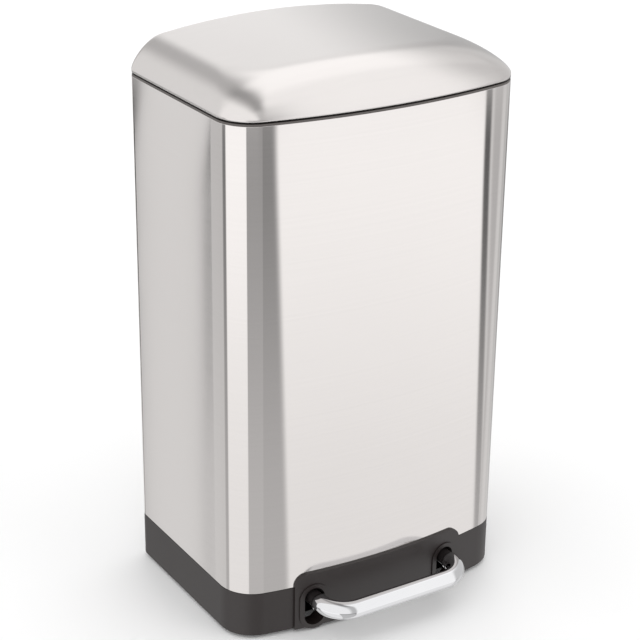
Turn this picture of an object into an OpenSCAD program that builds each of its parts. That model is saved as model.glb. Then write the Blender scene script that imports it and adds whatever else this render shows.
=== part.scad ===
// Pedal trash can.  A bowed steel body stands on a plastic base, a domed steel lid is hinged
// at the back, and a chromed toe bar at the front lifts it through two levers and two rods.
// Millimetres, +Z up, the bowed front faces -Y, the feet stand on Z = 0.

/* [Body] */
// Width across the straight sides
width = 340; // [300:1:380]
// Depth from the middle of the bowed front to the flat back
depth = 241; // [220:1:280]
// How far the front bows forward of its corners
bow = 21.4; // [8:0.2:30]
// Radius of the front corners
corner_front = 39; // [25:1:60]
// Radius of the back corners
corner_back = 15; // [6:1:40]
// Height of the steel wrap above the plastic base
body_height = 509.9; // [380:1:600]
// Thickness of the steel wrap
steel = 0.6; // [0.5:0.1:1.5]

/* [Base] */
// Height of the rubber feet
foot_height = 4; // [2:0.5:10]
// Diameter of the rubber feet
foot_d = 20; // [12:1:30]
// Height of the plastic base
base_height = 50.8; // [44:0.2:70]
// Wall of the plastic base
base_wall = 2.6; // [2:0.1:4]
// Height of the bucket shelf above the floor
shelf_z = 64; // [60:1:90]

/* [Lid] */
// Height of the visible rim band
rim_band = 2.1; // [1:0.1:5]
// Shadow gap between the rim band and the lid
lid_gap = 2.1; // [1.6:0.1:5]
// Upright edge at the bottom of the lid
lid_edge = 3; // [1:0.5:10]
// Rise of the lid from its upright edge to its shoulder line
lid_shoulder = 23.4; // [15:0.2:40]
// Extra rise of the crown at the middle of the lid
lid_crown = 17; // [5:0.5:30]
// How much lower the crown is at the front than at the back
lid_tilt = 2; // [0:0.5:10]
// Width of the rolled shoulder at the sides
shoulder_side = 42; // [25:1:70]
// Width of the rolled shoulder at the front
shoulder_front = 62; // [35:1:110]
// Corner radius of the shoulder line
shoulder_corner = 60; // [20:1:80]
// Opening angle of the lid
lid_open = 75; // [60:1:80]

/* [Hinge] */
// Height of the hinge axis above the lower edge of the lid
hinge_rise = 12; // [10:0.5:20]
// Distance of the hinge axis from the back
hinge_in = 5; // [4.6:0.1:8]
// Outer radius of the hinge knuckles
knuckle_r = 4.2; // [3.5:0.1:5]
// Diameter of the hinge pin
hinge_pin_d = 4; // [3:0.5:5]
// Distance of the lift rods from the hinge axis
crank = 20; // [16:0.5:24]
// Rise of the lift rods for each radian of lid opening, over their distance from the hinge
rod_gear = 1.125; // [1.1:0.005:1.15]

/* [Pedal] */
// Diameter of the chromed toe bar
bar_d = 19.5; // [14:0.5:24]
// Reach of the toe bar in front of the bowed front
bar_reach = 39; // [30:1:60]
// Bend radius of the toe bar
bar_bend = 28; // [20:1:36]
// Spacing of the two pedal arms
arm_spacing = 168; // [140:1:200]
// Diameter of the pedal arms
arm_d = 17; // [12:0.5:18]
// Height of the pedal axle above the floor
axle_z = 39; // [34:0.5:44]
// Diameter of the pedal axle
axle_d = 8; // [6:0.5:10]
// Length of the levers from the axle to the lift rods
lever = 136; // [120:1:150]
// Diameter of the lift rods and of the link across the levers
rod_d = 6; // [5:0.5:8]
// Spacing of the two lift rods
rod_spacing = 148; // [130:1:150]

/* [Pedal plate] */
// Width of the plate around the pedal pockets
plate_width = 212; // [200:1:240]
// Top of the plate above the underside of the base
plate_height = 65; // [58:1:75]
// Radius of the top corners of the plate
plate_corner = 14; // [4:1:25]
// How far the plate stands proud
plate_proud = 2.8; // [1:0.1:5]
// Width of the pocket openings
pocket_width = 23; // [21:0.5:28]
// Width of the raised bezel around each pocket
bezel_width = 34; // [30:0.5:40]
// Depth of the pockets
pocket_depth = 18; // [10:1:25]

/* [Bucket] */
// Wall of the plastic bucket
bucket_wall = 2; // [1.5:0.1:3]
// Size of the bucket's bottom as a share of its top
bucket_taper = 0.96; // [0.9:0.01:1]
// Gap between the bucket and the lugs that swing behind it
bucket_gap = 4.9; // [4:0.1:20]

/* [Fits] */
// Radial clearance of parts that turn or slide on each other
run_fit = 0.05; // [0.02:0.01:0.1]
// Radial clearance of parts held fast in each other
tight_fit = 0.02; // [0.01:0.01:0.05]
// Gap between plastic mouldings and the steel
mould_gap = 0.25; // [0.1:0.05:0.5]

/* [Hidden] */
$fn = 96;
eps = 0.01;
half = width / 2;
bow_r = (half * half + bow * bow) / (2 * bow);
corner_x = half - corner_front;
corner_y = bow_r - sqrt(pow(bow_r - corner_front, 2) - corner_x * corner_x);
fan = 1.1 * bow_r;
fan_x = fan * corner_x / (bow_r - corner_front);
fan_y = bow_r - fan * (bow_r - corner_y) / (bow_r - corner_front);
mid_y = (depth - bar_reach - bar_d / 2) / 2;

base_z = foot_height;
base_top = base_z + base_height;
seam_gap = 0.5;
body_top = base_top + body_height;
rim_top = body_top + rim_band;
lid_z = rim_top + lid_gap;
hinge_y = depth - hinge_in;
hinge_z = lid_z + hinge_rise;

seat_gap = 0.02;
rest_gap = 0.05;
pan_t = 2.5;
pan_lift = 0.2;
pan_top = base_z + pan_lift + pan_t;
foot_stem_d = 8;
foot_head_t = 1.6;
shelf_t = 2.5;
shelf_top = shelf_z + shelf_t;
spigot_in = steel + mould_gap;
spigot_t = 2.4;
skirt_t = 2;
skirt_drop = 16;
deck_top = body_top - 1.5;
deck_t = 2;
ledge = 11.5;
ledge_corner = 24;
flange_t = 2;
flange_in = 6.4;

rod_x = rod_spacing / 2;
rod_y = hinge_y - crank;
half_swing = lid_open / 2;
half_lift = rod_gear * crank * half_swing * PI / 180;
lever_swing = asin(half_lift / lever);
axle_y = rod_y - lever * (1 + cos(lever_swing)) / 2;
link_y = axle_y + lever * cos(lever_swing);
link_z = axle_z - half_lift;
rod_top_z = hinge_z - half_lift;
arm_x = arm_spacing / 2;
arm_t = 8;
lever_h = 14;
axle_eye = 13;
link_eye = 8.5;
bush_r = axle_d / 2 + 2;
socket_y = -7;
socket_in = 4;
tube_wall = 1.6;
block_x = arm_x + 8;
block_t = 12;
block_half = 12;
block_cap = 9;
clip_t = 0.8;
clip_rim = 2.5;
screw_t = 1.6;

crank_pin_d = 4;
head_r = 5;
head_t = 6.5;
lug_t = 3;
lug_x = rod_x + 5;
lug_wall = 3;
lug_drop = 8.6;
slot_play = 0.8;
slot_near = crank - 0.5;
slot_far = sqrt(crank * crank + half_lift * half_lift) + 0.5;
guide_half = 8;
foot_play = 0.9;
foot_rod_h = 18;
lug_half = crank_pin_d / 2 + slot_play + lug_wall;
lug_reach = slot_far + lug_half;
bucket_back = hinge_in + lug_reach + bucket_gap;
cover_in = hinge_in + lug_reach + 1.1;

leaf_t = 2;
bracket_t = 2;
leaf_z = hinge_z + knuckle_r - leaf_t - 0.3;
leaf_half = 95;
leaf_front = 38;
leaf_back = 8;
knuckle_gap = 0.5;
inner_knuckle = 10;
outer_knuckle = 50;
hinge_half = 70;
notch_half = 74;
notch_rise = 8;

liner_gap = 0.5;
liner_t = 2;
liner_in = 26;
pan_z = leaf_z + leaf_t + 0.05;

pocket_top = axle_z + arm_d / 2 + 3.5;
pocket_low = base_z + 2.5;
bezel_top = pocket_top + 4.5;
bezel_low = base_z - 2;
bezel_proud = 1.4;
pocket_wall = 2;
cut_gap = 0.4;

chrome = [0.86, 0.86, 0.88];
brushed = [0.72, 0.71, 0.70];
zinc = [0.62, 0.63, 0.65];
charcoal = [0.20, 0.19, 0.19];
black = [0.10, 0.10, 0.10];
rubber = [0.06, 0.06, 0.06];
bucket_grey = [0.24, 0.24, 0.25];

// Everything is drawn with Y = 0 at the middle of the bowed front and then centred.
module centred() {
    translate([0, -mid_y, 0]) children();
}

// The outline of the body, drawn inwards by inset, with its flat back at back.
module plan(inset, back = depth, corner = corner_back) {
    r = max(corner - inset, 1);
    edge = half - inset;
    translate([-edge, corner_y]) square([2 * edge, back - r - corner_y]);
    translate([-(edge - r), back - r - 1]) square([2 * (edge - r), r + 1]);
    for (side = [-1, 1]) {
        translate([side * (edge - r), back - r]) circle(r);
        translate([side * corner_x, corner_y]) circle(corner_front - inset);
    }
    intersection() {
        translate([0, bow_r]) circle(bow_r - inset, $fn = 720);
        polygon([[-corner_x, corner_y], [corner_x, corner_y], [fan_x, fan_y], [-fan_x, fan_y]]);
    }
}

loop_back = 24;
loop_corner = 8;
loop_side = 5;
loop_front = 24;
loop_count = loop_back + 4 * loop_corner + 2 * loop_side + loop_front;

// One closed outline drawn point by point: sides at edge, a bow of radius big whose middle is
// at front, front corners of radius r, and a flat back at back with corners of radius rb.
function loop(edge, front, big, r, back, rb) =
    let (cx = edge - r,
         cy = front + big - sqrt(pow(big - r, 2) - cx * cx),
         swing = atan2(cx, front + big - cy),
         turn = 90 - swing)
    concat(
        [for (i = [0 : loop_back - 1]) [(edge - rb) * (2 * i / loop_back - 1), back]],
        [for (i = [0 : loop_corner - 1]) let (a = 90 * i / loop_corner)
            [edge - rb + rb * sin(a), back - rb + rb * cos(a)]],
        [for (i = [0 : loop_side - 1]) [edge, back - rb + (cy - back + rb) * i / loop_side]],
        [for (i = [0 : loop_corner - 1]) let (a = turn * i / loop_corner)
            [cx + r * cos(a), cy - r * sin(a)]],
        [for (i = [0 : loop_front - 1]) let (a = swing * (1 - 2 * i / loop_front))
            [big * sin(a), front + big - big * cos(a)]],
        [for (i = [0 : loop_corner - 1]) let (a = turn * (1 - i / loop_corner))
            [-cx - r * cos(a), cy - r * sin(a)]],
        [for (i = [0 : loop_side - 1]) [-edge, cy + (back - rb - cy) * i / loop_side]],
        [for (i = [0 : loop_corner - 1]) let (a = 90 * i / loop_corner)
            [-(edge - rb) - rb * cos(a), back - rb + rb * sin(a)]]);

module slab(low, high, inset, back_inset = 0, corner = corner_back) {
    translate([0, 0, low]) linear_extrude(high - low)
        plan(inset, depth - (back_inset == 0 ? inset : back_inset), corner);
}

module ring(low, high, outer, inner) {
    difference() {
        slab(low, high, outer);
        slab(low - 1, high + 1, inner);
    }
}

module rod_along_x(x0, x1, y, z, d) {
    translate([x0, y, z]) rotate([0, 90, 0]) cylinder(d = d, h = x1 - x0);
}

module rod_along_y(x, y0, y1, z, d) {
    translate([x, y0, z]) rotate([-90, 0, 0]) cylinder(d = d, h = y1 - y0);
}

// An upright slot with round ends, cut or raised along Y.
module arch(x, y0, y1, low, high, w) {
    rod_along_y(x, y0, y1, high - w / 2, w);
    rod_along_y(x, y0, y1, low + w / 2, w);
    translate([x - w / 2, y0, low + w / 2]) cube([w, y1 - y0, high - low - w]);
}

module both_sides() {
    children();
    mirror([1, 0, 0]) children();
}

// ---- base ----

module base_ring() {
    foot_step = 1.4;
    foot_inset = 0.9;
    web_t = 5;
    lip_rise = 4;
    ledge_t = 3.2;
    ledge_reach = 9;
    color(charcoal) centred() difference() {
        union() {
            ring(base_z + foot_step, base_top, 0, base_wall);
            ring(base_z, base_z + foot_step + eps, foot_inset, base_wall);
            ring(base_top - web_t, shelf_top + lip_rise, spigot_in, spigot_in + spigot_t);
            ring(base_top - web_t, base_top, base_wall - eps, spigot_in + spigot_t);
            ring(shelf_z - ledge_t, shelf_z - rest_gap, spigot_in + spigot_t - eps, ledge_reach);
        }
        both_sides() arch(arm_x, -20, pocket_depth + 15, pocket_low - pocket_wall - cut_gap,
                          pocket_top + pocket_wall + cut_gap,
                          pocket_width + 2 * (pocket_wall + cut_gap));
    }
}

module base_pan() {
    rib_h = 12;
    rib_t = 2;
    rib_x = 36;
    rib_end = 40;
    hole_d = foot_stem_d + 4 * run_fit;
    color(black) centred() difference() {
        union() {
            slab(base_z + pan_lift, pan_top, base_wall + 0.1);
            for (x = [-rib_x, rib_x]) translate([x - rib_t / 2, rib_end, pan_top - eps])
                cube([rib_t, depth - 2 * rib_end, rib_h]);
        }
        both_sides() {
            translate([arm_x - bezel_width / 2, -5, base_z - 1])
                cube([bezel_width, pocket_depth + 14, 10]);
            for (y = foot_rows()) translate([foot_x(), y, base_z - 1]) cylinder(d = hole_d, h = 10);
        }
    }
}

function foot_x() = half - 40;
function foot_rows() = [corner_y + 12, depth - 36];

module base_shelf() {
    color(black) centred() difference() {
        slab(shelf_z, shelf_top, spigot_in + spigot_t + 0.1);
        both_sides() translate([rod_x, rod_y, shelf_z - 1]) cylinder(d = rod_d + 3, h = 6);
    }
}

module rubber_feet() {
    color(rubber) centred() both_sides() for (y = foot_rows()) translate([foot_x(), y, 0]) {
        cylinder(d = foot_d, h = foot_height + pan_lift - eps);
        cylinder(d = foot_stem_d, h = foot_height + pan_t + foot_head_t);
        translate([0, 0, pan_top + seat_gap]) cylinder(d = foot_stem_d + 3, h = foot_head_t);
    }
}

module base_screws() {
    head_d = 7;
    head_h = 2.2;
    from_side = 23;
    color(zinc) centred() both_sides() for (y = [corner_y + 20, depth - 60])
        translate([half - from_side, y, shelf_top + seat_gap]) cylinder(d = head_d, h = head_h);
}

module pedal_plate() {
    plate_top = base_z + plate_height;
    side = plate_width / 2;
    color(charcoal) centred() difference() {
        union() {
            intersection() {
                difference() {
                    slab(base_z - 3, plate_top + 1, -plate_proud, corner_back);
                    slab(base_z - 4, plate_top + 2, -0.05, corner_back);
                }
                union() {
                    translate([-side, -20, base_z]) cube([plate_width, 40, plate_height - plate_corner]);
                    translate([-side + plate_corner, -20, base_z])
                        cube([plate_width - 2 * plate_corner, 40, plate_height]);
                    both_sides() rod_along_y(side - plate_corner, -20, 20,
                                             plate_top - plate_corner, 2 * plate_corner);
                }
            }
            intersection() {
                difference() {
                    slab(base_z - 3, plate_top + 1, -(plate_proud + bezel_proud), corner_back);
                    slab(base_z - 4, plate_top + 2, -0.05, corner_back);
                }
                both_sides() arch(arm_x, -20, 20, bezel_low, bezel_top, bezel_width);
            }
            both_sides() intersection() {
                arch(arm_x, 0, pocket_depth, pocket_low - pocket_wall,
                     pocket_top + pocket_wall, pocket_width + 2 * pocket_wall);
                translate([0, bow_r, 0]) cylinder(r = bow_r + plate_proud - eps, h = 100, $fn = 720);
            }
        }
        both_sides() arch(arm_x, -20, pocket_depth + 20, pocket_low, pocket_top, pocket_width);
    }
}

module pedal_axle() {
    end_x = block_x + block_t + 3;
    color(zinc) centred() rod_along_x(-end_x, end_x, axle_y, axle_z, axle_d);
}

module axle_blocks() {
    color(black) centred() both_sides() difference() {
        union() {
            translate([block_x, axle_y - block_half, pan_top + seat_gap])
                cube([block_t, 2 * block_half, axle_z - pan_top - seat_gap]);
            rod_along_x(block_x, block_x + block_t, axle_y, axle_z, 2 * block_cap);
        }
        rod_along_x(block_x - 1, block_x + block_t + 1, axle_y, axle_z, axle_d + 2 * tight_fit);
    }
}

module axle_clips() {
    x = block_x + block_t + 0.3;
    color(zinc) centred() both_sides() difference() {
        rod_along_x(x, x + clip_t, axle_y, axle_z, axle_d + 2 * clip_rim + 2);
        rod_along_x(x - 1, x + clip_t + 1, axle_y, axle_z, axle_d + 2 * tight_fit);
    }
}

// ---- body ----

module body_shell() {
    seam_w = 9;
    seam_low = shelf_top + 6;
    seam_high = body_top - skirt_drop - 3;
    color(brushed) centred() {
        ring(base_top + seam_gap, body_top, 0, steel);
        translate([-seam_w / 2, depth - 2 * steel, seam_low])
            cube([seam_w, steel + eps, seam_high - seam_low]);
    }
}

module rim_ring() {
    band_in = 0.4;
    band_t = 6;
    color(charcoal) centred() difference() {
        union() {
            ring(body_top, rim_top, band_in, band_t);
            ring(body_top - skirt_drop, body_top + eps, spigot_in, spigot_in + skirt_t);
            ring(deck_top - eps, body_top + eps, spigot_in, band_t);
            difference() {
                slab(deck_top - deck_t, deck_top, spigot_in);
                slab(deck_top - deck_t - 1, deck_top + 1, ledge, bucket_back, ledge_corner + ledge);
            }
        }
        translate([-hinge_span() / 2, depth - 16, deck_top])
            cube([hinge_span(), 30, rim_band + 4]);
        both_sides()
            translate([rod_x - head_r - 1, hinge_y - lug_reach - cut_gap, deck_top - deck_t - 1])
                cube([lug_x - rod_x + lug_t + 12, lug_reach - crank + 12 + cut_gap, deck_t + 2]);
    }
}

function hinge_span() = 2 * (outer_knuckle + 3);

module tub(low, high, inset, bottom, floor_t) {
    middle = depth / 2 - 10;
    grow = 1 / bottom;
    translate([0, middle, low + floor_t])
        linear_extrude(height = high - low - floor_t, scale = grow) scale(bottom)
            translate([0, -middle]) polygon(loop(half - inset, inset, bow_r - inset,
                corner_front - inset, depth - bucket_back - inset + ledge,
                ledge_corner + ledge - inset));
}

module inner_bucket() {
    top = deck_top + rest_gap + flange_t;
    wall_in = ledge + 1;
    low = shelf_top + 2.6;
    grip_w = 90;
    grip_in = 30;
    slot_w = grip_in - 16;
    slot_reach = grip_w / 2 - 14;
    color(bucket_grey) centred() difference() {
        union() {
            tub(low, top, wall_in, bucket_taper, 0);
            difference() {
                slab(top - flange_t, top, flange_in, bucket_back - 3, ledge_corner + flange_in);
                slab(top - flange_t - 1, top + 1, wall_in + 1, bucket_back + 2,
                     ledge_corner + wall_in);
            }
        }
        difference() {
            tub(low, top + eps, wall_in + bucket_wall, bucket_taper, bucket_wall);
            both_sides() translate([half - wall_in - grip_in, depth / 2 - grip_w / 2, top - 3])
                cube([grip_in + 3, grip_w, 3 + 1]);
        }
        both_sides() {
            translate([half - wall_in - grip_in + 6, depth / 2 - slot_reach, top - 4])
                cube([slot_w, 2 * slot_reach, 6]);
            for (end = [-1, 1])
                translate([half - wall_in - grip_in / 2 - 2, depth / 2 + end * slot_reach, top - 4])
                    cylinder(d = slot_w, h = 6);
        }
    }
}

module guide(low, high, y_end) {
    difference() {
        translate([rod_x - guide_half, rod_y - guide_half, low])
            cube([2 * guide_half, y_end - rod_y + guide_half, high - low]);
        translate([rod_x, rod_y, low - 1]) cylinder(d = rod_d + 2 * run_fit, h = high - low + 2);
    }
}

module rod_guides_lower() {
    guide_h = 14;
    color(black) centred() both_sides()
        guide(shelf_top + seat_gap, shelf_top + guide_h, rod_y + guide_half);
}

module rod_guides_upper() {
    guide_h = 20;
    high = deck_top - deck_t - skirt_drop - 4;
    color(black) centred() both_sides() guide(high - guide_h, high, depth - steel - seat_gap);
}

module mechanism_cover() {
    panel_half = half - 22;
    panel_t = 1.2;
    below_deck = 5;
    color(black) centred() translate([-panel_half, depth - cover_in, shelf_top + seat_gap])
        cube([2 * panel_half, panel_t, deck_top - deck_t - shelf_top - below_deck]);
}

module hinge_bracket() {
    post = 6;
    foot_in = 12;
    foot_w = 15;
    color(zinc) centred() difference() {
        union() {
            translate([-outer_knuckle - 2, hinge_y - foot_in, deck_top + seat_gap])
                cube([2 * outer_knuckle + 4, foot_w, bracket_t]);
            both_sides() {
                translate([inner_knuckle + knuckle_gap, hinge_y - post / 2, deck_top + seat_gap])
                    cube([outer_knuckle - inner_knuckle - 2 * knuckle_gap, post,
                          hinge_z - deck_top - seat_gap]);
                rod_along_x(inner_knuckle + knuckle_gap, outer_knuckle - knuckle_gap,
                            hinge_y, hinge_z, 2 * knuckle_r);
            }
        }
        rod_along_x(-hinge_half - 1, hinge_half + 1, hinge_y, hinge_z,
                    hinge_pin_d + 2 * tight_fit);
    }
}

module hinge_pin() {
    color(chrome) centred() {
        rod_along_x(-hinge_half - 1.2, hinge_half + 1.2, hinge_y, hinge_z, hinge_pin_d);
        both_sides() rod_along_x(hinge_half + 0.4, hinge_half + 1.6, hinge_y, hinge_z,
                                 hinge_pin_d + 2);
    }
}

module hinge_screws() {
    color(zinc) centred() both_sides() for (x = [18, 42])
        translate([x, hinge_y - 8, deck_top + bracket_t + 2 * seat_gap]) cylinder(d = 5, h = screw_t);
}

module lid_stops() {
    stop_d = 4.6;
    from_side = 3.4;
    color(rubber) centred() both_sides() for (y = [corner_y + 25, depth / 2 + 40])
        translate([half - from_side, y, rim_top + seat_gap])
            cylinder(d = stop_d, h = lid_gap + liner_gap - 0.35);
}

// ---- lid ----

// How far the shoulder has drawn in, and how far it has risen, at the roll angle a.
function draw_in(a) = 1 - pow(cos(a), 0.9);
function rise(a) = pow(sin(a), 1.35);

// Height of the lid above its upright edge once the shoulder has fully risen.
function crown(x, y) = lid_shoulder + lid_crown * (1 - x * x / (half * half))
                       + lid_tilt * (y - depth) / depth;
// The bow of a loop flattens in step with its width.
function bow_of(edge) = bow_r * edge / half;

roll_steps = 9;
crown_steps = 5;

// The loops of one skin of the lid, from its lower edge up to the crown, t inside the outer one.
function lid_loops(t) = concat(
    [for (p = loop(half - t, t, bow_r - t, corner_front - t, depth - t, corner_back - t))
        [p[0], p[1], 0]],
    [for (j = [0 : roll_steps])
        let (a = 90 * j / roll_steps, q = draw_in(a))
            for (p = loop(half - t - shoulder_side * q, t + shoulder_front * q,
                          bow_of(half - t - shoulder_side * q),
                          corner_front - t + (shoulder_corner - corner_front) * q,
                          depth - t, (corner_back - t) * (1 - q) + 0.5 * q))
                [p[0], p[1], lid_edge + crown(p[0], p[1]) * rise(a) - t * rise(a)]],
    [for (i = [1 : crown_steps - 1])
        let (u = i / crown_steps,
             edge = half - t - shoulder_side,
             front = t + shoulder_front,
             reach = depth - t - front)
            for (p = loop(edge * (1 - u), front + 0.55 * reach * u, bow_of(edge * (1 - u)),
                          (shoulder_corner - t) * (1 - u), depth - t - 0.45 * reach * u,
                          0.5 + 30 * u * (1 - u)))
                [p[0], p[1], lid_edge + crown(p[0], p[1]) - t]]);

lid_rows = 1 + roll_steps + 1 + crown_steps - 1;

module lid_skin_solid() {
    outer = lid_loops(0);
    inner = lid_loops(steel);
    n = loop_count;
    last = (lid_rows - 1) * n;
    hub_y = shoulder_front + 0.55 * (depth - shoulder_front);
    points = concat(outer, inner, [[0, hub_y, lid_edge + crown(0, hub_y)],
                                   [0, hub_y, lid_edge + crown(0, hub_y) - steel]]);
    half_count = lid_rows * n;
    faces = concat(
        [for (j = [0 : lid_rows - 2], i = [0 : n - 1]) let (k = (i + 1) % n)
            each [[j * n + i, (j + 1) * n + i, j * n + k],
                  [j * n + k, (j + 1) * n + i, (j + 1) * n + k]]],
        [for (j = [0 : lid_rows - 2], i = [0 : n - 1]) let (k = (i + 1) % n)
            each [[half_count + j * n + i, half_count + j * n + k, half_count + (j + 1) * n + i],
                  [half_count + j * n + k, half_count + (j + 1) * n + k,
                   half_count + (j + 1) * n + i]]],
        [for (i = [0 : n - 1]) let (k = (i + 1) % n)
            each [[i, k, half_count + i], [k, half_count + k, half_count + i]]],
        [for (i = [0 : n - 1]) let (k = (i + 1) % n) [last + i, 2 * half_count, last + k]],
        [for (i = [0 : n - 1]) let (k = (i + 1) % n)
            [half_count + last + i, half_count + last + k, 2 * half_count + 1]]);
    polyhedron(points, faces, convexity = 6);
}

module lid_shell() {
    color(brushed) centred() difference() {
        translate([0, 0, lid_z]) lid_skin_solid();
        translate([-notch_half, depth - 3, lid_z - 1])
            cube([2 * notch_half, 6, hinge_rise + notch_rise + 1]);
    }
}

module lid_liner() {
    wall_in = liner_in - liner_t;
    cut_half = leaf_half + 1;
    color(black) centred() difference() {
        union() {
            ring(lid_z + liner_gap, lid_z + liner_gap + liner_t, steel + 0.4, liner_in);
            ring(lid_z + liner_gap, pan_z + liner_t, wall_in, liner_in);
            slab(pan_z, pan_z + liner_t, liner_in - eps);
        }
        translate([-cut_half, depth - liner_in - eps, lid_z - 1])
            cube([2 * cut_half, liner_in + 1, pan_z - lid_z + 10]);
    }
}

module lid_bracket() {
    color(zinc) centred() {
        difference() {
            union() {
                translate([-leaf_half, hinge_y - leaf_front, leaf_z])
                    cube([2 * leaf_half, leaf_front - leaf_back, leaf_t]);
                for (x = [[-hinge_half, -outer_knuckle], [-inner_knuckle, inner_knuckle],
                          [outer_knuckle, hinge_half]]) {
                    translate([x[0], hinge_y - leaf_back - 1, leaf_z])
                        cube([x[1] - x[0], leaf_back + 1, leaf_t]);
                    rod_along_x(x[0], x[1], hinge_y, hinge_z, 2 * knuckle_r);
                }
            }
            rod_along_x(-hinge_half - 1, hinge_half + 1, hinge_y, hinge_z,
                        hinge_pin_d + 2 * run_fit);
        }
        both_sides() difference() {
            union() {
                translate([lug_x, hinge_y - crank - 4, hinge_z - lug_drop])
                    cube([lug_t, 14, lug_drop + leaf_z - hinge_z + leaf_t / 2]);
                translate([lug_x, hinge_y, hinge_z]) rotate([half_swing, 0, 0]) {
                    translate([0, -slot_far, -lug_half])
                        cube([lug_t, slot_far - slot_near + 4, 2 * lug_half]);
                    rod_along_x(0, lug_t, -slot_far, 0, 2 * lug_half);
                }
            }
            translate([lug_x, hinge_y, hinge_z]) rotate([half_swing, 0, 0]) {
                translate([-1, -slot_far, -crank_pin_d / 2 - slot_play])
                    cube([lug_t + 2, slot_far - slot_near, crank_pin_d + 2 * slot_play]);
                for (y = [slot_near, slot_far])
                    rod_along_x(-1, lug_t + 1, -y, 0, crank_pin_d + 2 * slot_play);
            }
        }
    }
}

module lid_screws() {
    color(zinc) centred() both_sides() for (x = [24, 62])
        translate([x, hinge_y - leaf_front + 12, leaf_z - screw_t - seat_gap]) cylinder(d = 6, h = screw_t);
}

// ---- pedal ----

module bend(side) {
    translate([side * (arm_x - bar_bend), -bar_reach + bar_bend, axle_z])
        rotate([0, 0, side > 0 ? -90 : 180]) rotate_extrude(angle = 90)
            translate([bar_bend, 0]) difference() {
                circle(d = bar_d);
                circle(d = bar_d - 2 * tube_wall);
            }
}

module pedal_bar() {
    color(chrome) centred() {
        difference() {
            rod_along_x(-(arm_x - bar_bend), arm_x - bar_bend, -bar_reach, axle_z, bar_d);
            rod_along_x(-arm_x, arm_x, -bar_reach, axle_z, bar_d - 2 * tube_wall);
        }
        bend(-1);
        bend(1);
        both_sides() difference() {
            rod_along_y(arm_x, -bar_reach + bar_bend, socket_y, axle_z, bar_d);
            rod_along_y(arm_x, -bar_reach + bar_bend - 1, socket_y + 1, axle_z,
                        bar_d - 2 * tube_wall);
        }
    }
}

module pedal_arm() {
    neck_y = 40;
    web_lap = 12;
    web_t = arm_t - 1;
    eye_web = bush_r + 2;
    link_web = rod_d / 2 + 0.4;
    difference() {
        union() {
            rod_along_y(arm_x, socket_y + seat_gap, neck_y, axle_z, arm_d);
            rod_along_y(arm_x, socket_y - socket_in, socket_y + 0.1, axle_z,
                        bar_d - 2 * (tube_wall + tight_fit));
            translate([arm_x - web_t / 2, neck_y - web_lap, axle_z - lever_h / 2])
                cube([web_t, axle_y - neck_y + web_lap - eye_web, lever_h]);
            rod_along_x(arm_x - arm_t / 2, arm_x + arm_t / 2, axle_y, axle_z, 2 * axle_eye);
            translate([arm_x - arm_t / 2, axle_y, axle_z]) rotate([-lever_swing, 0, 0]) {
                translate([(arm_t - web_t) / 2, eye_web, -lever_h / 2])
                    cube([web_t, lever - eye_web - link_web, lever_h]);
                rod_along_x(0, arm_t, lever, 0, 2 * link_eye);
            }
        }
        rod_along_x(arm_x - arm_t, arm_x + arm_t, axle_y, axle_z, 2 * (bush_r + tight_fit));
        rod_along_x(arm_x - arm_t, arm_x + arm_t, link_y, link_z, rod_d + 2 * tight_fit);
    }
}

module pedal_arm_left() {
    color(charcoal) centred() mirror([1, 0, 0]) pedal_arm();
}

module pedal_arm_right() {
    color(charcoal) centred() pedal_arm();
}

module arm_bushes() {
    flange = 1.5;
    color([0.85, 0.84, 0.80]) centred() both_sides() difference() {
        union() {
            rod_along_x(arm_x - arm_t / 2, arm_x + arm_t / 2, axle_y, axle_z, 2 * bush_r);
            rod_along_x(arm_x - arm_t / 2 - flange, arm_x - arm_t / 2 - seat_gap, axle_y, axle_z,
                        2 * bush_r + 5);
            rod_along_x(arm_x - arm_t / 2 - 0.1, arm_x - arm_t / 2 + 0.1, axle_y, axle_z,
                        2 * bush_r);
        }
        rod_along_x(arm_x - arm_t, arm_x + arm_t, axle_y, axle_z, axle_d + 2 * run_fit);
    }
}

module cross_link() {
    end_x = arm_x + arm_t / 2 + 2.5;
    color(zinc) centred() rod_along_x(-end_x, end_x, link_y, link_z, rod_d);
}

module link_clips() {
    x = arm_x + arm_t / 2 + 0.3;
    color(zinc) centred() both_sides() difference() {
        rod_along_x(x, x + clip_t, link_y, link_z, rod_d + 2 * clip_rim);
        rod_along_x(x - 1, x + clip_t + 1, link_y, link_z, rod_d + 2 * tight_fit);
    }
}

// ---- lift rods ----

module lift_rod() {
    foot_wall = 4;
    foot_y = 2 * (rod_d / 2 + foot_play + foot_wall);
    slot_half = rod_d / 2 + run_fit + 0.05;
    difference() {
        union() {
            translate([rod_x, rod_y, link_z]) cylinder(d = rod_d, h = rod_top_z - link_z);
            rod_along_x(rod_x - head_t / 2, rod_x + head_t / 2, rod_y, rod_top_z, 2 * head_r);
            rod_along_x(rod_x, lug_x + lug_t + 3, rod_y, rod_top_z, crank_pin_d);
            translate([rod_x - foot_wall, rod_y - foot_y / 2, link_z - foot_rod_h / 2])
                cube([2 * foot_wall, foot_y, foot_rod_h]);
        }
        for (y = [-foot_play, foot_play])
            rod_along_x(rod_x - foot_wall - 1, rod_x + foot_wall + 1, rod_y + y, link_z,
                        2 * slot_half);
        translate([rod_x - foot_wall - 1, rod_y - foot_play, link_z - slot_half])
            cube([2 * foot_wall + 2, 2 * foot_play, 2 * slot_half]);
    }
}

module lift_rod_left() {
    color(zinc) centred() mirror([1, 0, 0]) lift_rod();
}

module lift_rod_right() {
    color(zinc) centred() lift_rod();
}

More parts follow.
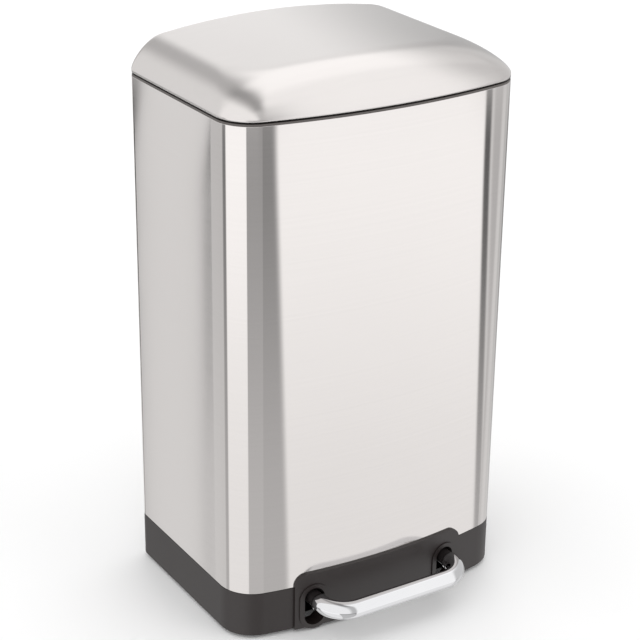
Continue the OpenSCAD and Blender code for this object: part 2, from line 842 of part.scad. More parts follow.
module rod_clips() {
    x = lug_x + lug_t + 0.6;
    color(zinc) centred() both_sides() difference() {
        rod_along_x(x, x + clip_t, rod_y, rod_top_z, crank_pin_d + 2 * clip_rim);
        rod_along_x(x - 1, x + clip_t + 1, rod_y, rod_top_z, crank_pin_d + 2 * tight_fit);
    }
}

base_ring();
base_pan();
base_shelf();
rubber_feet();
base_screws();
pedal_plate();
pedal_axle();
axle_blocks();
axle_clips();
body_shell();
rim_ring();
inner_bucket();
rod_guides_lower();
rod_guides_upper();
mechanism_cover();
hinge_bracket();
hinge_pin();
hinge_screws();
lid_stops();
lid_shell();
lid_liner();
lid_bracket();
lid_screws();
pedal_bar();
pedal_arm_left();
pedal_arm_right();
arm_bushes();
cross_link();
link_clips();
lift_rod_left();
lift_rod_right();
rod_clips();
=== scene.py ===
# %% [markdown]
# # A pedal trash can
#
# The real can is a thin steel wrap with a bowed front. It stands on a plastic base and wears a
# domed steel lid. A chromed toe bar works the lid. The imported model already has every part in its
# place and its joints, so this lesson gives the parts their finish, and makes again the three that
# need finer surfaces than a solid model holds: the wrap, the lid and the toe bar.

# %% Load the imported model
import math

import bpy
import numpy as np
from mathutils import Matrix, Vector


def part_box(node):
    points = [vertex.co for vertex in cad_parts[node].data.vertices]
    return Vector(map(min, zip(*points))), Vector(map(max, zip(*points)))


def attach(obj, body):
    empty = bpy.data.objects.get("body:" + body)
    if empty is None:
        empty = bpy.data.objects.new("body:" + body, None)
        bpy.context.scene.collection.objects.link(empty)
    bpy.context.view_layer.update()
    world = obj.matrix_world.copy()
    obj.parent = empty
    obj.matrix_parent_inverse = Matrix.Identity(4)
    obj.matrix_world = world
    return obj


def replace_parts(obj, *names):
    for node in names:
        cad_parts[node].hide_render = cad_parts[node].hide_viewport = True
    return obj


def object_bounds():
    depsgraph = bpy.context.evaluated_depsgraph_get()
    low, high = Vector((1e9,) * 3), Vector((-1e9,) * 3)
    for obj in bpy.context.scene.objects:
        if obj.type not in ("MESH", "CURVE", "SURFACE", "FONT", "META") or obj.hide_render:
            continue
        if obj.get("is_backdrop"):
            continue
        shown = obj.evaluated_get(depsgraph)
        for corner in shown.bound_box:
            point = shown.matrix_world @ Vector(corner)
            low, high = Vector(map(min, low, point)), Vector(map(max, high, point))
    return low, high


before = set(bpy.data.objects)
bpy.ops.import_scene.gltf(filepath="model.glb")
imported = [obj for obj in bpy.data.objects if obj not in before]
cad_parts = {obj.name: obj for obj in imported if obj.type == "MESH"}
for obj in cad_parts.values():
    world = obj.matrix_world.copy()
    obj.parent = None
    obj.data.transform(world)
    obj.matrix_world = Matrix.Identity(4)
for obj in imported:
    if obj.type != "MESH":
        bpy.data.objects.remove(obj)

cad_low, cad_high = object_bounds()

# %% [markdown]
# ## Measures
# A maker's drawing is in millimetres, and Blender works in metres. The main sizes are read from the
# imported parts, so they can't drift. The radii aren't in any box, so they are written here once.

# %% Read the main sizes
MM = 0.001
lid_low, lid_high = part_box("lid_shell")
body_low, body_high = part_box("body_shell")
HALF = lid_high.x
DEPTH = lid_high.y - lid_low.y
FRONT = lid_low.y
BACK = lid_high.y
LID_Z = lid_low.z
BOW = 21.4 * MM
FRONT_CORNER = 39 * MM
BACK_CORNER = 15 * MM
STEEL = 0.6 * MM
BOW_RADIUS = (HALF * HALF + BOW * BOW) / (2 * BOW)
print("width", round(2 * HALF, 4), "depth", round(DEPTH, 4), "bow radius", round(BOW_RADIUS, 3))

# %% [markdown]
# ## The camera
# A long lens from well back keeps the upright edges nearly parallel. The camera stands to the left
# of the bowed front and looks down on the lid. It is placed in widths of the can, so it would still
# frame a can of another size.

# %% Stand the camera
WIDTH = 2 * HALF
AZIMUTH = math.radians(-32.0842)
ELEVATION = math.radians(23.349)
ROLL = math.radians(0.7502)
DISTANCE = 5.7834 * WIDTH
AIM_LEFT = 0.0215 * WIDTH
AIM_BELOW_LID = 0.794 * WIDTH
LENS_MM = 102.85
SENSOR_MM = 36
FAR_END = 40
aim = Vector((-AIM_LEFT, (FRONT + BACK) / 2, LID_Z - AIM_BELOW_LID))
away = Vector((math.sin(AZIMUTH) * math.cos(ELEVATION),
               -math.cos(AZIMUTH) * math.cos(ELEVATION),
               math.sin(ELEVATION)))
eye = aim + away * DISTANCE
right = (-away).cross(Vector((0, 0, 1))).normalized()
up = right.cross(-away)
tilted_right = right * math.cos(ROLL) + up * math.sin(ROLL)
tilted_up = up * math.cos(ROLL) - right * math.sin(ROLL)
lens = bpy.data.cameras.new("lens")
lens.lens = LENS_MM
lens.sensor_width = SENSOR_MM
lens.clip_end = FAR_END
camera = bpy.data.objects.new("camera", lens)
turn = Matrix((tilted_right, tilted_up, away)).transposed().to_4x4()
camera.matrix_world = Matrix.Translation(eye) @ turn
bpy.context.scene.collection.objects.link(camera)
bpy.context.scene.camera = camera
print("camera at", [round(v, 3) for v in eye])

# %% [markdown]
# ## Sums on sockets
# A finish is a little sum: so much grain, plus so much streak. Written as Python it reads like one.
# A `Wire` holds one output socket, and each operator adds the Math node that does the sum.

# %% A socket that does sums
def feed(socket, value):
    """Link a wire to a socket, or set the socket's own value."""
    if isinstance(value, Wire):
        value.socket.id_data.links.new(value.socket, socket)
    else:
        socket.default_value = value


class Wire:
    """One output socket. Sums on it add Math nodes to its tree."""

    def __init__(self, socket):
        self.socket = socket

    def sum(self, operation, first, second):
        node = self.socket.id_data.nodes.new("ShaderNodeMath")
        node.operation = operation
        feed(node.inputs[0], first)
        feed(node.inputs[1], second)
        return Wire(node.outputs[0])

    def __add__(self, other):
        return self.sum("ADD", self, other)

    def __radd__(self, other):
        return self.sum("ADD", other, self)

    def __sub__(self, other):
        return self.sum("SUBTRACT", self, other)

    def __rsub__(self, other):
        return self.sum("SUBTRACT", other, self)

    def __mul__(self, other):
        return self.sum("MULTIPLY", self, other)

    def __rmul__(self, other):
        return self.sum("MULTIPLY", other, self)


print("sums ready")

# %% [markdown]
# ## Recipes and finishes
# Each material is one shader with a few nodes in front of it. A `Recipe` keeps a tree and adds any
# node to it: first the node's settings, then what goes into its sockets. A `Finish` is the recipe
# of a material, and the studio's light gets one too.

# %% A recipe and its nodes
def pick(sockets, name):
    """The socket with that name or identifier, or at that place."""
    if isinstance(name, int):
        return sockets[name]
    named = [s for s in sockets if name in (s.identifier, s.name)]
    return named[0]


class Recipe:
    """A tree that is filled one node at a time."""

    def __init__(self, tree):
        self.tree = tree
        self.tree.nodes.clear()

    def add(self, kind, settings=None, sockets=None, out=0):
        node = self.tree.nodes.new(kind)
        for name, value in (settings or {}).items():
            if name == "stops":
                ramp = node.color_ramp.elements
                while len(ramp) < len(value):
                    ramp.new(1.0)
                for stop, (position, colour) in zip(ramp, value):
                    stop.position = position
                    stop.color = colour
            else:
                setattr(node, name, value)
        for name, value in (sockets or {}).items():
            feed(pick(node.inputs, name), value)
        return None if out is None else Wire(pick(node.outputs, out))

    def ease(self, value, start, end):
        """0 before start and 1 after end, with a smooth step between them."""
        return self.add("ShaderNodeMapRange", {"interpolation_type": "SMOOTHSTEP"},
                        {"Value": value, "From Min": start, "From Max": end})


class Finish(Recipe):
    """A material's recipe. Patterns are laid on the place on the part, in metres."""

    def __init__(self, name):
        self.material = bpy.data.materials.new(name)
        self.material.use_nodes = True
        super().__init__(self.material.node_tree)
        self.place = self.add("ShaderNodeTexCoord", out="Object")

    def stretch(self, x, y, z):
        """The place on the part, stretched before a pattern is laid on it."""
        return self.add("ShaderNodeVectorMath", {"operation": "MULTIPLY"},
                        {0: self.place, 1: (x, y, z)})

    def noise(self, vector, scale, detail=2.0):
        return self.add("ShaderNodeTexNoise", {},
                        {"Vector": vector, "Scale": scale, "Detail": detail})

    def blend(self, factor, first, second):
        return self.add("ShaderNodeMix", {"data_type": "RGBA"},
                        {"Factor_Float": factor, "A_Color": first, "B_Color": second},
                        "Result_Color")

    def bump(self, height, strength, distance):
        return self.add("ShaderNodeBump", {},
                        {"Strength": strength, "Distance": distance, "Height": height})

    def shade(self, **sockets):
        """The one shader. Sockets are written with _ for a space."""
        named = {name.replace("_", " "): value for name, value in sockets.items()}
        surface = self.add("ShaderNodeBsdfPrincipled", {}, named)
        self.add("ShaderNodeOutputMaterial", {}, {"Surface": surface}, None)
        return self.material


print("finish ready")

# %% [markdown]
# ## Brushed steel on the wrap
# The sheet is brushed along its length before it is bent, so the scratches run level round the can.
# Level scratches smear a reflection up and down and leave it sharp from side to side. The shader
# does that smear: its anisotropy, turned a quarter. On top come the scratches themselves, noise
# stretched so far along the level that it becomes lines, in the colour, the roughness and the bump.
# The lid is brushed from side to side and its haze is even, so it takes the same recipe without the
# smear.

# %% Brushed steel
def linear(*levels):
    """A colour given as a paint chart does, 0 to 255, in the light's own scale."""
    return tuple((v / 255) ** 2.2 for v in levels) + (1.0,)


BROAD_SHARE = 0.22
CLOUD_HAZE = 0.03
SCRATCH_DEPTH = 0.04 * MM


def brushed(name, along, tint, shadow, roughness, spread, anisotropy, depth):
    """Steel with scratches along one axis: along gives the pattern's scale on x, y and z."""
    steel = Finish(name)
    fine = steel.noise(steel.stretch(*along), 1.0, 3.0)
    broad = steel.noise(steel.stretch(*(BROAD_SHARE * a for a in along)), 1.0, 2.0)
    cloud = steel.noise(steel.place, 7.0, 3.0)
    streak = fine * 0.55 + broad * 0.45
    colour = steel.blend(streak * 0.7 + cloud * 0.3, linear(*shadow), linear(*tint))
    rough = streak * spread + cloud * CLOUD_HAZE + (roughness - 0.5 * (spread + CLOUD_HAZE))
    lines = steel.bump(streak, depth, SCRATCH_DEPTH)
    return steel.shade(Base_Color=colour, Metallic=1.0, Roughness=rough, Normal=lines,
                       Anisotropic=anisotropy, Anisotropic_Rotation=0.25)


wrap_steel = brushed("brushed_steel", (3, 3, 1500), (210, 206, 204), (200, 196, 194),
                     0.05, 0.02, 0.97, 0.06)
lid_steel = brushed("brushed_lid_steel", (4, 700, 700), (210, 206, 204), (201, 197, 195),
                    0.17, 0.05, 0.0, 0.03)
print("steel finishes", wrap_steel.name, lid_steel.name)

# %% [markdown]
# ## Chrome and zinc
# Chrome is a mirror with next to no haze, only the faint waviness of a bent tube. Zinc plate on the
# hidden hardware is duller and slightly clouded. The pedal's arms are steel with a satin black coat.

# %% Chrome, zinc and the black arms
PLATE_WAVE = 0.2 * MM
PEEL_DEPTH = 0.1 * MM
PEEL_HAZE = 0.12


def plated(name, tint, shadow, roughness, spread, scale):
    """Plated metal: a cloud of that scale varies its tint, its haze and its waviness."""
    plate = Finish(name)
    cloud = plate.noise(plate.place, scale, 4.0)
    colour = plate.blend(cloud, linear(*shadow), linear(*tint))
    rough = cloud * spread + (roughness - 0.5 * spread)
    wave = plate.bump(cloud, 0.05, PLATE_WAVE)
    return plate.shade(Base_Color=colour, Metallic=1.0, Roughness=rough, Normal=wave)


chrome = plated("chrome", (208, 208, 209), (203, 203, 205), 0.05, 0.02, 25.0)
zinc = plated("zinc_plate", (208, 210, 214), (178, 180, 184), 0.34, 0.14, 60.0)


def coated(name, tint, roughness):
    """Satin black coat over steel: paint with a little orange peel."""
    coat = Finish(name)
    peel = coat.noise(coat.place, 420.0, 2.0)
    colour = coat.blend(peel, linear(*(0.85 * v for v in tint)), linear(*tint))
    rough = peel * PEEL_HAZE + (roughness - 0.5 * PEEL_HAZE)
    skin = coat.bump(peel, 0.15, PEEL_DEPTH)
    return coat.shade(Base_Color=colour, Roughness=rough, Normal=skin)


arm_coat = coated("arm_coat", (40, 37, 37), 0.34)
print("plated finishes", chrome.name, zinc.name, arm_coat.name)

# %% [markdown]
# ## Moulded plastics
# A moulding takes its skin from the mould, which is etched with a fine grain so that it looks satin
# and hides scuffs. The grain is a fine noise in the bump, and a broader one varies the tint and the
# haze. The same recipe with other numbers gives the charcoal base, the grey rim, the black inner
# parts, the bucket, the nylon bushes and the rubber.

# %% Plastics and rubber
GRAIN_HAZE = 0.08
GRAIN_DEPTH = 0.2 * MM


def moulded(name, tint, roughness, grain, depth, scuff=0.06):
    """Moulded plastic or rubber: grain is the scale of the etched skin and depth its strength."""
    skin = Finish(name)
    small = skin.noise(skin.place, grain, 3.0)
    large = skin.noise(skin.place, 9.0, 4.0)
    etched = small * 0.8 + large * 0.2
    darker, lighter = (linear(*(share * v for v in tint)) for share in (0.90, 1.08))
    colour = skin.blend(etched, darker, lighter)
    rough = large * scuff + small * GRAIN_HAZE + (roughness - 0.5 * (scuff + GRAIN_HAZE))
    pores = skin.bump(small, depth, GRAIN_DEPTH)
    return skin.shade(Base_Color=colour, Roughness=rough, Normal=pores)


charcoal = moulded("charcoal_plastic", (41, 35, 34), 0.44, 1500.0, 0.25)
rim_grey = moulded("rim_plastic", (86, 81, 79), 0.46, 1500.0, 0.25)
black = moulded("black_plastic", (34, 33, 33), 0.48, 1100.0, 0.30)
bucket_skin = moulded("bucket_plastic", (66, 66, 69), 0.44, 900.0, 0.25)
nylon = moulded("nylon", (222, 220, 212), 0.40, 700.0, 0.12)
rubber = moulded("rubber", (38, 38, 38), 0.78, 600.0, 0.40)
print("moulded finishes", [m.name for m in (charcoal, rim_grey, black, bucket_skin, nylon, rubber)])

# %% [markdown]
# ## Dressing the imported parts
# Most parts are already the right shape, so they keep their solid model and only get a finish. A
# moulding or a pressing never has a knife edge, so each gets a small bevel, wide on thick mouldings
# and narrow on sheet.

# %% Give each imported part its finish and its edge
SHARP = math.radians(40)


def dress(node, finish, edge):
    """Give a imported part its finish, and a bevel of that many millimetres."""
    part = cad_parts[node]
    part.data.materials.clear()
    part.data.materials.append(finish)
    if edge:
        bevel = part.modifiers.new("edge", "BEVEL")
        bevel.width = edge * MM
        bevel.segments = 2
        bevel.limit_method = "ANGLE"
        bevel.angle_limit = SHARP
        bevel.harden_normals = True


PARTS = {
    charcoal: {"base_ring": 0.8, "pedal_plate": 0.7},
    rim_grey: {"rim_ring": 0.3},
    black: {"base_pan": 0.4, "base_shelf": 0, "axle_blocks": 0.5, "rod_guides_lower": 0.6,
            "rod_guides_upper": 0.6, "mechanism_cover": 0.3, "lid_liner": 0.5},
    bucket_skin: {"inner_bucket": 0.5},
    nylon: {"arm_bushes": 0.2},
    rubber: {"rubber_feet": 0.5, "lid_stops": 0.3},
    zinc: {"base_screws": 0.4, "axle_clips": 0.1, "pedal_axle": 0.5, "hinge_bracket": 0.3,
           "hinge_pin": 0.2, "hinge_screws": 0.4, "lid_bracket": 0.3, "lid_screws": 0.4,
           "cross_link": 0.5, "link_clips": 0.1, "lift_rod_left": 0.3, "lift_rod_right": 0.3,
           "rod_clips": 0.1},
    arm_coat: {"pedal_arm_left": 0.5, "pedal_arm_right": 0.5},
}
for finish, parts in PARTS.items():
    for node, edge in parts.items():
        dress(node, finish, edge)
print("dressed", sum(len(parts) for parts in PARTS.values()), "packed parts")

# %% [markdown]
# ## One outline for the wrap and the lid
# Seen from above the can is a D: two straight sides, a straight back with small corners, larger
# front corners, and a wide bow between them that meets each corner without a kink. One function
# walks round it and gives every point with the direction that faces outwards there.

# %% Walk round the outline
BOW_STEPS = 72
CORNER_STEPS = 20
SIDE_STEPS = 16


def arc(cx, cy, radius, start, end, steps):
    """Points along an arc, given in degrees, and the way each one faces."""
    turns = np.radians(np.linspace(start, end, steps + 1))
    out = np.stack([np.cos(turns), np.sin(turns)], 1)
    return np.array([cx, cy]) + radius * out, out


def straight(start, end, shares, out):
    """Points at those shares of the way along a straight run, which all face the same way."""
    start, end = np.array(start), np.array(end)
    points = np.array([start + (end - start) * share for share in shares])
    return points, np.tile(np.array(out, float), (len(shares), 1))


def outline(edge, front, big, corner, back, back_corner, back_xs):
    """Anticlockwise from the left end of the bow. edge is the half width, and front and back are y.
    back_xs are the stops along the back, from right to left."""
    cx = edge - corner
    cy = front + big - math.sqrt((big - corner) ** 2 - cx * cx)
    swing = math.degrees(math.atan2(cx, front + big - cy))
    side = np.linspace(0, 1, SIDE_STEPS + 2)[1:-1]
    rear = back - back_corner
    shares = [(edge - back_corner - x) / (2 * (edge - back_corner)) for x in back_xs]
    runs = [
        arc(0, front + big, big, -90 - swing, -90 + swing, BOW_STEPS),
        arc(cx, cy, corner, -90 + swing, 0, CORNER_STEPS),
        straight((edge, cy), (edge, rear), side, (1, 0)),
        arc(edge - back_corner, rear, back_corner, 0, 90, CORNER_STEPS),
        straight((edge - back_corner, back), (back_corner - edge, back), shares, (0, 1)),
        arc(back_corner - edge, rear, back_corner, 90, 180, CORNER_STEPS),
        straight((-edge, rear), (-edge, cy), side, (-1, 0)),
        arc(-cx, cy, corner, 180, 270 - swing, CORNER_STEPS),
    ]
    # Each front corner starts where the run before it ends, so its first point is left out, and the
    # very last point is the bow's first.
    shared = (1, len(runs) - 1)
    parts = [[part[1:] if i in shared else part for part in run] for i, run in enumerate(runs)]
    points, outs = (np.concatenate(column)[:-1] for column in zip(*parts))
    return points, outs


plain, _ = outline(HALF, FRONT, BOW_RADIUS, FRONT_CORNER, BACK, BACK_CORNER, (0,))
print("outline of", len(plain), "points,", [round(float(v), 4) for v in np.ptp(plain, axis=0)])

# %% [markdown]
# ## The steel wrap
# The wrap is one sheet, 0.6 mm thick, bent round the outline and closed by a lap seam at the back.
# Its top and bottom edges are turned so that they don't cut. It is drawn as a thin closed section
# swept round the outline. A flat side next to a bend shades badly if Blender averages the corner's
# direction into it, so the exact directions from the outline are given to the mesh instead. Only in
# the seam's groove does Blender work them out.

# %% Sweep the wrap's section round the outline
def lip(radius, z, start, end, steps=6):
    """A half-round edge on the sheet: how far in, how high, and which way each point faces."""
    turns = np.radians(np.linspace(start, end, steps + 1))
    return [(radius - radius * math.cos(t), z + radius * math.sin(t), math.cos(t), math.sin(t))
            for t in turns]


EDGE_ZONE = 4 * MM
WRAP_LEVELS = 9


def sheet_section(low, high, thick):
    """Up the outside, over the top lip, down the inside and round the bottom lip."""
    radius = thick / 2
    levels = np.linspace(low + EDGE_ZONE, high - EDGE_ZONE, WRAP_LEVELS)
    outside = [(0, z, 1, 0) for z in levels]
    inside = [(thick, z, -1, 0) for z in levels[::-1]]
    return outside + lip(radius, high - radius, 0, 180) + inside + lip(radius, low + radius, 180, 360)


def make_mesh(name, points, faces, finish, facing=None):
    """A smooth mesh object. facing gives each point's direction, where it is known exactly."""
    mesh = bpy.data.meshes.new(name)
    mesh.from_pydata([tuple(map(float, p)) for p in points], [], faces)
    mesh.materials.append(finish)
    mesh.polygons.foreach_set("use_smooth", [True] * len(mesh.polygons))
    mesh.update()
    if facing is not None:
        mesh.normals_split_custom_set_from_vertices([tuple(map(float, n)) for n in facing])
    piece = bpy.data.objects.new(name, mesh)
    bpy.context.scene.collection.objects.link(piece)
    return piece


def band(rows, around, closed=False):
    """Quads between closed rows of points. closed joins the last row back to the first as well."""
    return [(i * around + j, i * around + (j + 1) % around,
             ((i + 1) % rows) * around + (j + 1) % around, ((i + 1) % rows) * around + j)
            for i in range(rows if closed else rows - 1) for j in range(around)]


SEAM_X = 4.5 * MM
SEAM_LIP = 0.25 * MM
SEAM_DEPTH = 0.6 * SEAM_LIP
BACK_STOP = 40 * MM
seam_stops = [SEAM_X + k * SEAM_LIP for k in (2, 1, 0, -1, -2)]
ring_stops = (2 * BACK_STOP, BACK_STOP, *seam_stops, -BACK_STOP, -2 * BACK_STOP)
points, facing = [], []
section = sheet_section(body_low.z, body_high.z, STEEL)
for inset, z, out_share, up_share in section:
    flat, out = outline(HALF - inset, FRONT + inset, BOW_RADIUS - inset, FRONT_CORNER - inset,
                        BACK - inset, BACK_CORNER - inset, ring_stops)
    # The seam shows as a shallow step: of its three stops, two are pushed in.
    groove = (np.abs(flat[:, 0] - SEAM_X) < 1.5 * SEAM_LIP) & (flat[:, 1] > BACK - 2 * STEEL)
    flat[groove & (flat[:, 0] > SEAM_X - 0.5 * SEAM_LIP), 1] -= SEAM_DEPTH
    for (x, y), (ox, oy), cut in zip(flat, out, groove):
        points.append((x, y, z))
        facing.append((0, 0, 0) if cut else (ox * out_share, oy * out_share, up_share))
wrap_faces = band(len(section), len(flat), closed=True)
wrap = make_mesh("steel_wrap", points, wrap_faces, wrap_steel, facing)
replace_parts(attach(wrap, "body"), "body_shell")
print("wrap", len(wrap.data.polygons), "faces, height", round(body_high.z - body_low.z, 4))

# %% [markdown]
# ## The lid
# The lid is pressed from one sheet. A short upright edge turns into a shoulder that rolls in slowly
# at the bottom and quickly at the top, and the crown stays a little domed, higher in the middle than
# at the sides. Every level is the same outline, drawn smaller: its corners grow rounder as it
# shrinks, and the back stays upright against the hinge until it rolls forward at the very top.

# %% How the shoulder rolls
LID_EDGE = 3 * MM
SHOULDER_RISE = 23.4 * MM
CROWN_RISE = 17 * MM
TILT = 2 * MM
SHOULDER_SIDE = 42 * MM
SHOULDER_FRONT = 62 * MM
SHOULDER_CORNER = 60 * MM
BACK_ROLL = 2.5 * MM
BACK_ROLL_START = 0.93


def draw_in(angle):
    """The share of its width that the shoulder has drawn in, from 0 at its foot to 1."""
    return 1 - math.cos(angle) ** 0.9


def rise(angle):
    """The share of its height that the shoulder has climbed."""
    return math.sin(angle) ** 1.35


def crown(x, y):
    """The height of the dome above the lid's upright edge."""
    return SHOULDER_RISE + CROWN_RISE * (1 - (x / HALF) ** 2) + TILT * (y - BACK) / DEPTH


def rolled_back(share):
    """How far the top of the back has turned forward, from the share of the rise."""
    turn = max(0.0, (share - BACK_ROLL_START) / (1 - BACK_ROLL_START))
    return BACK_ROLL * (1 - math.sqrt(max(0.0, 1 - turn * turn)))


print("shoulder draws in", [round(draw_in(math.radians(a)), 2) for a in (0, 30, 60, 90)])

# %% [markdown]
# The lid is stacked up level by level. The upright edge and the shoulder come first. Then the crown
# closes in towards one point, a little behind the middle, where its last faces meet. The back has a
# few stops along it, and two of them are the sides of the notch for the hinge.

# %% Stack the lid's levels, from its edge to its crown
ROLL_STEPS = 36
CROWN_STEPS = 14
NOTCH_HALF = 74 * MM
NOTCH_TOP = 20 * MM
right_stops = (130 * MM, 105 * MM, NOTCH_HALF, 50 * MM, 25 * MM)
LID_STOPS = (*right_stops, 0.0, *(-x for x in reversed(right_stops)))
EDGE_IN = HALF - SHOULDER_SIDE
FRONT_IN = FRONT + SHOULDER_FRONT
BACK_IN = BACK - BACK_ROLL
REACH = BACK_IN - FRONT_IN
HUB_SHARE = 0.55
HUB_Y = FRONT_IN + HUB_SHARE * REACH
TOP_CORNER = 4 * MM
HUB_CORNER = 16 * MM


def lid_level(edge, front, corner, back, back_corner):
    """One level of the lid. The stops at the hinge notch stay put until the crown closes in."""
    wide, shrink = max(edge, EDGE_IN) / HALF, min(1.0, edge / EDGE_IN)
    spread = [(x if abs(x) == NOTCH_HALF else x * wide) * shrink for x in LID_STOPS]
    return outline(edge, front, BOW_RADIUS * edge / HALF, corner, back, back_corner, spread)[0]


rows = []
foot = lid_level(HALF, FRONT, FRONT_CORNER, BACK, BACK_CORNER)
for z in (0, 0.5 * LID_EDGE):
    rows.append([(x, y, LID_Z + z) for x, y in foot])
for step in range(ROLL_STEPS + 1):
    angle = math.pi / 2 * step / ROLL_STEPS
    q, up_share = draw_in(angle), rise(angle)
    turned = rolled_back(up_share)
    ring = lid_level(HALF - SHOULDER_SIDE * q, FRONT + SHOULDER_FRONT * q,
                     FRONT_CORNER + (SHOULDER_CORNER - FRONT_CORNER) * q,
                     BACK - turned, BACK_CORNER * (1 - q) + TOP_CORNER * q)
    rows.append([(x, y, LID_Z + LID_EDGE + crown(x, y) * up_share) for x, y in ring])
for step in range(1, CROWN_STEPS):
    u = step / CROWN_STEPS
    back_corner = (TOP_CORNER + (HUB_CORNER - TOP_CORNER) * u) * (1 - u)
    ring = lid_level(EDGE_IN * (1 - u), FRONT_IN + HUB_SHARE * REACH * u, SHOULDER_CORNER * (1 - u),
                     BACK_IN - (1 - HUB_SHARE) * REACH * u, back_corner)
    rows.append([(x, y, LID_Z + LID_EDGE + crown(x, y)) for x, y in ring])
print("lid levels", len(rows), "of", len(rows[0]), "points")

# %% [markdown]
# The hinge needs a notch in the lid's back edge. The back is flat and upright there, so one level's
# points can slide up or down to the notch's top without changing the shape. The faces below it are
# left out, and a Solidify modifier gives the sheet its thickness and closes every cut edge.

# %% Close the lid's skin
NOTCH_ROW = 15
NEAR = 0.1 * MM
LID_SHARP = math.radians(50)
around = len(rows[0])
notch_z = LID_Z + NOTCH_TOP
for j, (x, y, _) in enumerate(rows[NOTCH_ROW]):
    if y > BACK - NEAR and abs(x) <= NOTCH_HALF + NEAR:
        rows[NOTCH_ROW][j] = (x, y, notch_z)
points = [p for row in rows for p in row]
faces = []
for quad in band(len(rows), around):
    mid = sum((Vector(points[i]) for i in quad), Vector()) / len(quad)
    in_notch = mid.y > BACK - NEAR and abs(mid.x) < NOTCH_HALF and mid.z < notch_z
    if not in_notch:
        faces.append(quad)
hub = len(points)
points.append((0, HUB_Y, LID_Z + LID_EDGE + crown(0, HUB_Y)))
last = hub - around
faces += [(last + j, last + (j + 1) % around, hub) for j in range(around)]
lid = make_mesh("lid_skin", points, faces, lid_steel)
sheet = lid.modifiers.new("sheet", "SOLIDIFY")
sheet.thickness = STEEL
sheet.offset = -1
sheet.use_even_offset = True
lid.data.set_sharp_from_angle(angle=LID_SHARP)
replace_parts(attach(lid, "lid"), "lid_shell")
print("lid", len(faces), "faces, top", round(max(p[2] for p in points), 4))

# %% [markdown]
# ## The toe bar
# The bar is chromed tube, bent twice. A tube is drawn by carrying a ring of points along the bend's
# centre line. Its two open ends are turned in to the tube's wall, where the black arms plug in.

# %% Bend the toe bar
bar_low, bar_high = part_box("pedal_bar")
TUBE = (bar_high.z - bar_low.z) / 2
TUBE_WALL = 1.6 * MM
BEND = 28 * MM
BEND_STEPS = 28
RING_POINTS = 48
ROUNDING = 0.4 * TUBE_WALL
BORE = TUBE - TUBE_WALL
BORE_DEPTH = 5 * MM
BAR_SHARP = math.radians(60)
arm_x = bar_high.x - TUBE
bar_y = bar_low.y + TUBE
bar_z = (bar_low.z + bar_high.z) / 2


def bend(cx, start, end):
    """Points and directions round one bend of the tube's centre line."""
    middles, outs = arc(cx, bar_y + BEND, BEND, start, end, BEND_STEPS)
    return [(middle, (-out[1], out[0])) for middle, out in zip(middles, outs)]


def tube_ring(middle, along, radius):
    """A ring of points round the tube, square to the way it runs."""
    turns = np.linspace(0, 2 * math.pi, RING_POINTS, endpoint=False)
    side = np.array((along[1], -along[0], 0.0))
    out = np.outer(np.cos(turns), side) + np.outer(np.sin(turns), (0, 0, 1))
    return np.array((*middle, bar_z)) + radius * out


def open_end(x, along):
    """Rings that turn one end in to the tube's bore, from the outside."""
    turned = ((ROUNDING, TUBE), (0, TUBE - ROUNDING), (0, BORE), (BORE_DEPTH, BORE))
    return [tube_ring((x, bar_high.y - depth), along, radius) for depth, radius in turned]


bends = bend(BEND - arm_x, 180, 270) + bend(arm_x - BEND, 270, 360)
rings = open_end(-arm_x, (0, -1))[::-1]
rings += [tube_ring(middle, along, TUBE) for middle, along in bends]
rings += open_end(arm_x, (0, 1))
faces = band(len(rings), RING_POINTS)
bar = make_mesh("toe_bar", np.concatenate(rings), faces, chrome)
bar.data.set_sharp_from_angle(angle=BAR_SHARP)
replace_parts(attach(bar, "pedal"), "pedal_bar")
print("toe bar", len(faces), "faces, tube", round(2 * TUBE / MM, 1), "mm across")

# %% [markdown]
# ## The studio
# Steel shows its surroundings, so the studio is most of the finish. Here the room itself is the
# light: one great soft box on each side, with a darker gap between them that runs from behind the
# can, over it, and down to the camera. The boxes are written as sums on the direction that is
# looked in: x to the right, y to the back and z up, each from -1 to 1. Lamps could make them too, but
# the sums light the can from every side at once, and there is no lamp to keep out of the picture.

# %% The soft boxes and the gap between them
ROOM_POWER = 1.35
GAP_LIGHT = 0.30
LEFT_LIGHT = 0.97
RIGHT_LIGHT = 1.03
scene = bpy.context.scene
scene.view_settings.view_transform = "Standard"
room = bpy.data.worlds.new("room")
room.use_nodes = True
scene.world = room
studio = Recipe(room.node_tree)
look = studio.add("ShaderNodeTexCoord", out="Generated")
x, y, z = (studio.add("ShaderNodeSeparateXYZ", {}, {"Vector": look}, axis) for axis in "XYZ")
behind = studio.ease(y, 0.58, 0.72)
before = studio.ease(y, -0.10, -0.50)
high = studio.ease(z, 0.50, 0.65)
far_right = studio.ease(x + y * 0.18, 0.62, 0.78)

# The gap is a little lighter and stands further right behind the can, and before it.
gap = GAP_LIGHT + behind * 0.18 + before * 0.25
gap_shift = behind * 0.06 + before * 0.08

# The left box fades towards the back. The right one is brightest overhead, and it is dimmer low
# behind the can and at its far side.
left_box = studio.ease(x, -0.02, -0.26)
left_level = LEFT_LIGHT - 0.20 * studio.ease(y, 0.45, 0.70)
right_box = studio.ease(x, gap_shift + 0.02, gap_shift + behind * 0.11 + 0.16)
right_level = RIGHT_LIGHT + 0.10 * high * studio.ease(y, 0.0, 0.25) - 0.18 * behind * (1 - high)
right_level = right_level - 0.42 * far_right
overhead = gap + left_box * (left_level - gap) + right_box * (right_level - gap)
print("soft boxes hung")

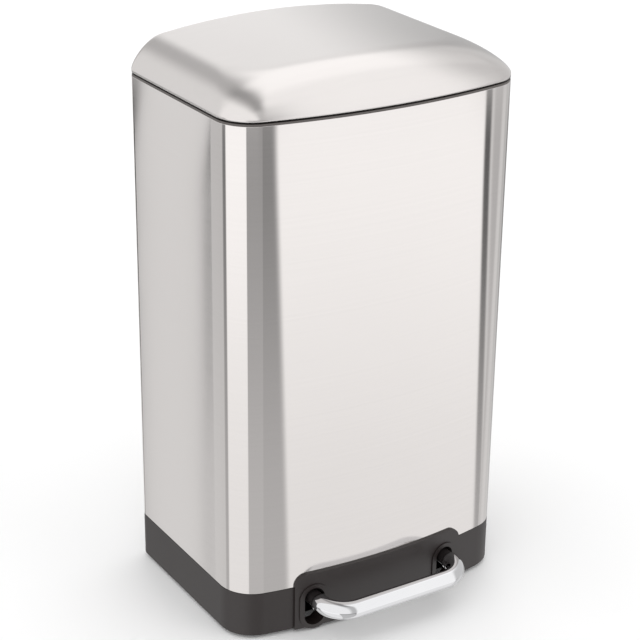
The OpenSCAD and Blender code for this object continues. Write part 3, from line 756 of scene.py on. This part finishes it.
# %% [markdown]
# Low down stand a few boards, some light and some dark. Each makes one of the upright bands that
# show on the wrap. A flat side shows only a few degrees of the room and a bend shows a great deal of
# it, so a board for a flat side is given more exactly than one for a bend. The steel shows the boards
# and the boxes, and they light the room, but the camera itself sees a plain backdrop.

# %% The boards low down
BACKDROP = 0.74
LOW_LIGHT = 1.07
FLOOR_LIGHT = 0.72
LEAN_FROM = -0.31
CURL = 0.5
BOARDS = (
    # name, start and end in degrees, half the width of its soft edge, lean, level
    ("wall behind on the left", -190, -151.6, 0.1, 1, 0.75),
    ("stand behind on the left", -151.6, -110, 0.1, 1, 0.57),
    ("edge of that stand", -151.74, -151.50, 0.05, 1, 0.0),
    ("door post on the left", -119, -107, 3, 0, 0.2),
    ("soft box on the left", -105, -44, 3, 0, 1.12),
    ("open side by the camera", -43, 8.95, 1, -14, 0.35),
    ("camera stand", 3, 8.95, 1, -14, 0.26),
    ("wall on the right", 59.2, 190, 1, -14, 0.50),
    ("window on the right", 72, 92, 7, 0, 0.68),
    ("post on the right", 57.2, 59.0, 0.4, -14, 0.11),
    ("passage on the right", 113, 152, 4, 0, 0.24),
    ("wall behind on the right", 152, 190, 4, 0, 0.78),
    ("passage behind on the left", -171, -154.2, 0.15, 0, 0.0),
)


def towards(light, share, level):
    """Take a light that share of the way to another level."""
    return light + share * (level - light)


def stand_board(light, start, end, soft, lean, level):
    """Between two azimuths the light goes to the board's level. Azimuth 0 is straight in front
    of the can and positive is to its right. lean is how far it slants, in degrees over the height."""
    slant = azimuth - (z - LEAN_FROM) * lean
    inside = studio.ease(slant, start - soft, start + soft) * studio.ease(slant, end + soft, end - soft)
    return towards(light, inside, level)


# Towards the top every board leans over a little more, so the bands bend under the lid.
azimuth = x.sum("ARCTAN2", x, 0 - y) * math.degrees(1)
azimuth = azimuth - studio.ease(z, -0.33, -0.25) * CURL
low = LOW_LIGHT
for name, *sizes in BOARDS:
    low = stand_board(low, *sizes)
low = towards(low, studio.ease(z, -0.30, -0.52) * 0.55, FLOOR_LIGHT)
light = towards(low, studio.ease(z, -0.30, -0.24), overhead)
by_camera = studio.add("ShaderNodeLightPath", out="Is Camera Ray")
light = towards(light, by_camera, BACKDROP)
grey = studio.add("ShaderNodeCombineColor", {}, {"Red": light, "Green": light, "Blue": light})
glow = studio.add("ShaderNodeBackground", {}, {"Color": grey, "Strength": ROOM_POWER})
studio.add("ShaderNodeOutputWorld", {}, {"Surface": glow}, None)
print("boards up:", ", ".join(name for name, *_ in BOARDS))

# %% [markdown]
# ## The floor
# The floor is white paper. It catches the can's soft shadow, but it is left out of every reflection:
# the steel then shows the room alone, and its bands run all the way down to the base.

# %% Lay the floor
paper = Finish("floor_paper")
mottle = paper.noise(paper.place, 3.0, 2.0)
paper_white = paper.blend(mottle, (0.94, 0.94, 0.94, 1), (0.96, 0.96, 0.96, 1))
floor_paper = paper.shade(Base_Color=paper_white, Roughness=0.9)
FLOOR = 6.0
corners = [(-FLOOR, -FLOOR, 0), (FLOOR, -FLOOR, 0), (FLOOR, FLOOR, 0), (-FLOOR, FLOOR, 0)]
floor = make_mesh("floor", corners, [(0, 1, 2, 3)], floor_paper)
floor.visible_glossy = False
floor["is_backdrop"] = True
print("floor", 2 * FLOOR, "m across")

# %% [markdown]
# ## Sizes
# The finished picture's box and the solid model's box are both measured, and their largest difference
# is printed. The finished picture must be no bigger than the solid model.

# %% Compare sizes and finish
made_low, made_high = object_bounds()
sizes = {"cad": [list(cad_low), list(cad_high)], "visual": [list(made_low), list(made_high)]}
print("largest difference", round(max(abs(a - b) for a, b in zip([*cad_low, *cad_high],
                                                                 [*made_low, *made_high])), 6))
